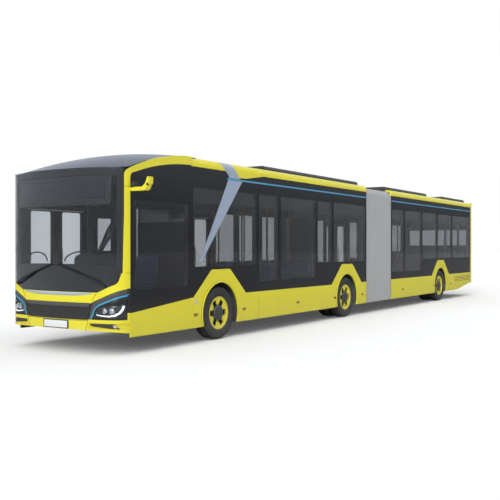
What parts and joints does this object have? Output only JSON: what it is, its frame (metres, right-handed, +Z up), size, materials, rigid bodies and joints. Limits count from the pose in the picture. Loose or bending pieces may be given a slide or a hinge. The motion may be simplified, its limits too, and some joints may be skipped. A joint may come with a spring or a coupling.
{
  "type": "articulated city bus",
  "caption": "Low-floor articulated bus: a front car and a rear car joined by a pivot with pleated bellows, steered front wheels, twin driven wheels and double doors.",
  "frame": {"origin": "middle of the bounding box, on the ground", "axes": "+Z up, -Y towards the front of the bus, +X towards its left side"},
  "size_m": [3.29, 18.1096, 3.3199],
  "materials": {
    "body_paint": "gloss yellow paint",
    "black_gloss": "gloss black paint",
    "roof_black": "satin black paint",
    "window_glass": "dark tinted safety glass",
    "lamp_clear": "clear moulded lens",
    "lamp_red": "red moulded lens",
    "dark_plastic": "moulded, fine grain",
    "bellows_cloth": "coated cloth, light grey",
    "frame_metal": "satin",
    "floor_grey": "hard-wearing floor cover",
    "seat_blue": "woven cover on a moulded shell",
    "rail_yellow": "powder coat",
    "tyre_rubber": "matt black rubber",
    "rim_paint": "gloss yellow and black paint",
    "chassis_steel": "black chassis paint"
  },
  "bodies": {
    "front_car": {"bellows": "bellows_cloth", "camera_arms": "body_paint", "corner_pillars": "body_paint", "driver_cab": "dark_plastic", "front_axle": "chassis_steel", "front_end_frame": "frame_metal", "front_floor": "floor_grey", "front_grille": "black_gloss", "front_handrails": "rail_yellow", "front_mask": "body_paint", "front_panes": "window_glass", "front_roof": "body_paint", "front_roof_units": "roof_black", "front_seats": "seat_blue", "front_side_walls": "black_gloss", "front_skirts": "body_paint", "front_wheel_boxes": "floor_grey", "headlamps": "lamp_clear", "lower_turntable": "chassis_steel", "middle_axle": "chassis_steel", "nose_cap": "black_gloss", "windscreen": "window_glass", "wipers": "dark_plastic"},
    "rear_car": {"rear_roof": "body_paint", "rear_skirts": "body_paint", "rear_mask": "body_paint", "rear_side_walls": "black_gloss", "rear_panes": "window_glass", "tail_lamps": "lamp_red", "rear_roof_units": "roof_black", "rear_end_frame": "frame_metal", "rear_floor": "floor_grey", "rear_wheel_boxes": "floor_grey", "rear_seats": "seat_blue", "rear_handrails": "rail_yellow", "rear_axle": "chassis_steel", "upper_turntable": "chassis_steel"},
    "left_knuckle": {"steering_knuckle_left": "chassis_steel"},
    "right_knuckle": {"steering_knuckle_right": "chassis_steel"},
    "tie_rod": {"tie_rod": "chassis_steel"},
    "front_left_wheel": {"front_left_rim": "rim_paint", "front_left_tyre": "tyre_rubber"},
    "front_right_wheel": {"front_right_rim": "rim_paint", "front_right_tyre": "tyre_rubber"},
    "middle_left_wheel": {"middle_left_rims": "rim_paint", "middle_left_tyres": "tyre_rubber"},
    "middle_right_wheel": {"middle_right_rims": "rim_paint", "middle_right_tyres": "tyre_rubber"},
    "rear_left_wheel": {"rear_left_rims": "rim_paint", "rear_left_tyres": "tyre_rubber"},
    "rear_right_wheel": {"rear_right_rims": "rim_paint", "rear_right_tyres": "tyre_rubber"},
    "door_1_front": {"door_1_front_leaf": "black_gloss"},
    "door_1_rear": {"door_1_rear_leaf": "black_gloss"},
    "door_2_front": {"door_2_front_leaf": "black_gloss"},
    "door_2_rear": {"door_2_rear_leaf": "black_gloss"},
    "door_3_front": {"door_3_front_leaf": "black_gloss"},
    "door_3_rear": {"door_3_rear_leaf": "black_gloss"}
  },
  "joints": [
    {"name": "articulation", "type": "hinge", "parent": "front_car", "child": "rear_car", "pos_m": [0, 0.875, 0.26], "axis": [0, 0, 1], "range_deg": [-50, 50], "deforming": ["bellows"]},
    {"name": "steer_left", "type": "hinge", "parent": "front_car", "child": "left_knuckle", "pos_m": [1, -6.23, 0.478], "axis": [0, 0, 1], "range_deg": [-46, 46]},
    {"name": "steer_right", "type": "hinge", "parent": "front_car", "child": "right_knuckle", "pos_m": [-1, -6.23, 0.478], "axis": [0, 0, 1], "range_deg": [-46, 46]},
    {"name": "tie_rod_pivot", "type": "hinge", "parent": "left_knuckle", "child": "tie_rod", "pos_m": [1, -6.04, 0.371], "axis": [0, 0, 1], "range_deg": [-46, 46]},
    {"name": "front_left_spin", "type": "hinge", "parent": "left_knuckle", "child": "front_left_wheel", "pos_m": [1.1, -6.23, 0.478], "axis": [1, 0, 0], "continuous": true},
    {"name": "front_right_spin", "type": "hinge", "parent": "right_knuckle", "child": "front_right_wheel", "pos_m": [-1.1, -6.23, 0.478], "axis": [1, 0, 0], "continuous": true},
    {"name": "middle_left_spin", "type": "hinge", "parent": "front_car", "child": "middle_left_wheel", "pos_m": [1.1, -1.03, 0.478], "axis": [1, 0, 0], "continuous": true},
    {"name": "middle_right_spin", "type": "hinge", "parent": "front_car", "child": "middle_right_wheel", "pos_m": [-1.1, -1.03, 0.478], "axis": [1, 0, 0], "continuous": true},
    {"name": "rear_left_spin", "type": "hinge", "parent": "rear_car", "child": "rear_left_wheel", "pos_m": [1.1, 5.65, 0.478], "axis": [1, 0, 0], "continuous": true},
    {"name": "rear_right_spin", "type": "hinge", "parent": "rear_car", "child": "rear_right_wheel", "pos_m": [-1.1, 5.65, 0.478], "axis": [1, 0, 0], "continuous": true},
    {"name": "door_1_front_swing", "type": "hinge", "parent": "front_car", "child": "door_1_front", "pos_m": [-1.255, -8.485, 1.35], "axis": [0, 0, 1], "range_deg": [-85, 0]},
    {"name": "door_1_rear_swing", "type": "hinge", "parent": "front_car", "child": "door_1_rear", "pos_m": [-1.255, -7.161, 1.35], "axis": [0, 0, 1], "range_deg": [0, 85]},
    {"name": "door_2_front_swing", "type": "hinge", "parent": "front_car", "child": "door_2_front", "pos_m": [-1.255, -4.517, 1.35], "axis": [0, 0, 1], "range_deg": [-85, 0]},
    {"name": "door_2_rear_swing", "type": "hinge", "parent": "front_car", "child": "door_2_rear", "pos_m": [-1.255, -3.193, 1.35], "axis": [0, 0, 1], "range_deg": [0, 85]},
    {"name": "door_3_front_swing", "type": "hinge", "parent": "rear_car", "child": "door_3_front", "pos_m": [-1.255, 2.696, 1.35], "axis": [0, 0, 1], "range_deg": [-85, 0]},
    {"name": "door_3_rear_swing", "type": "hinge", "parent": "rear_car", "child": "door_3_rear", "pos_m": [-1.255, 4.02, 1.35], "axis": [0, 0, 1], "range_deg": [0, 85]}
  ],
  "couplings": [
    {"joint": "steer_right", "follows": "steer_left", "ratio": 1},
    {"joint": "tie_rod_pivot", "follows": "steer_left", "ratio": -1}
  ]
}
